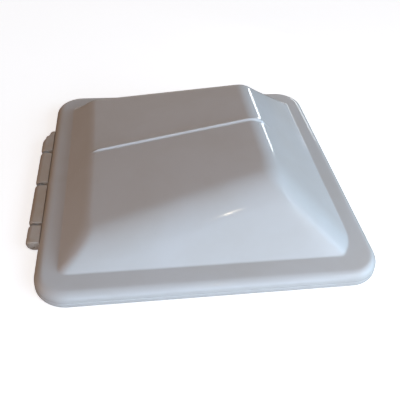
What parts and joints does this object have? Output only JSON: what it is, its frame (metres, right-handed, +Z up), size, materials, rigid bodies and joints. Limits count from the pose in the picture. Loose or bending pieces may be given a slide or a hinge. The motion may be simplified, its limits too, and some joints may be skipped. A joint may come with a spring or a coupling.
{
  "type": "roof vent cover",
  "caption": "Hinged square roof vent lid with a sloping hipped dome, moulded hinge barrels, a foam rim seal and a crank-arm track with a sliding shoe underneath.",
  "frame": {"origin": "centre of the closed lid's footprint, at the foot of the skirt", "axes": "+Z up out of the roof, -X towards the hinge, +X towards the high side of the dome, +Y along the hinge pin"},
  "size_m": [0.4174, 0.403, 0.0854],
  "materials": {
    "lid_plastic": "glossy moulded white plastic",
    "zinc_steel": "zinc plated sheet",
    "bright_steel": "bright plated",
    "seal_foam": "closed-cell foam",
    "nylon": "natural nylon",
    "black_plastic": "fine grained"
  },
  "bodies": {
    "strap": {"hinge_strap": "zinc_steel"},
    "lid": {"lid_shell": "lid_plastic", "hinge_pin": "bright_steel", "pin_cap_front": "lid_plastic", "pin_cap_back": "lid_plastic", "rim_seal": "seal_foam", "lift_track": "zinc_steel", "track_washer_1": "bright_steel", "track_washer_2": "bright_steel", "track_washer_3": "bright_steel", "track_washer_4": "bright_steel", "track_screw_1": "bright_steel", "track_screw_2": "bright_steel", "track_screw_3": "bright_steel", "track_screw_4": "bright_steel", "track_stop_low": "black_plastic", "track_stop_high": "black_plastic"},
    "shoe": {"slide_shoe": "nylon", "shoe_pin": "bright_steel", "shoe_clip": "bright_steel"}
  },
  "joints": [
    {"name": "lid_hinge", "type": "hinge", "parent": "strap", "child": "lid", "pos_m": [-0.20175, 0, 0.008], "axis": [0, -1, 0], "range_deg": [0, 75]},
    {"name": "shoe_slide", "type": "slide", "parent": "lid", "child": "shoe", "axis": [0.9828, 0, 0.1848], "range_m": [-0.06, 0.06]}
  ]
}
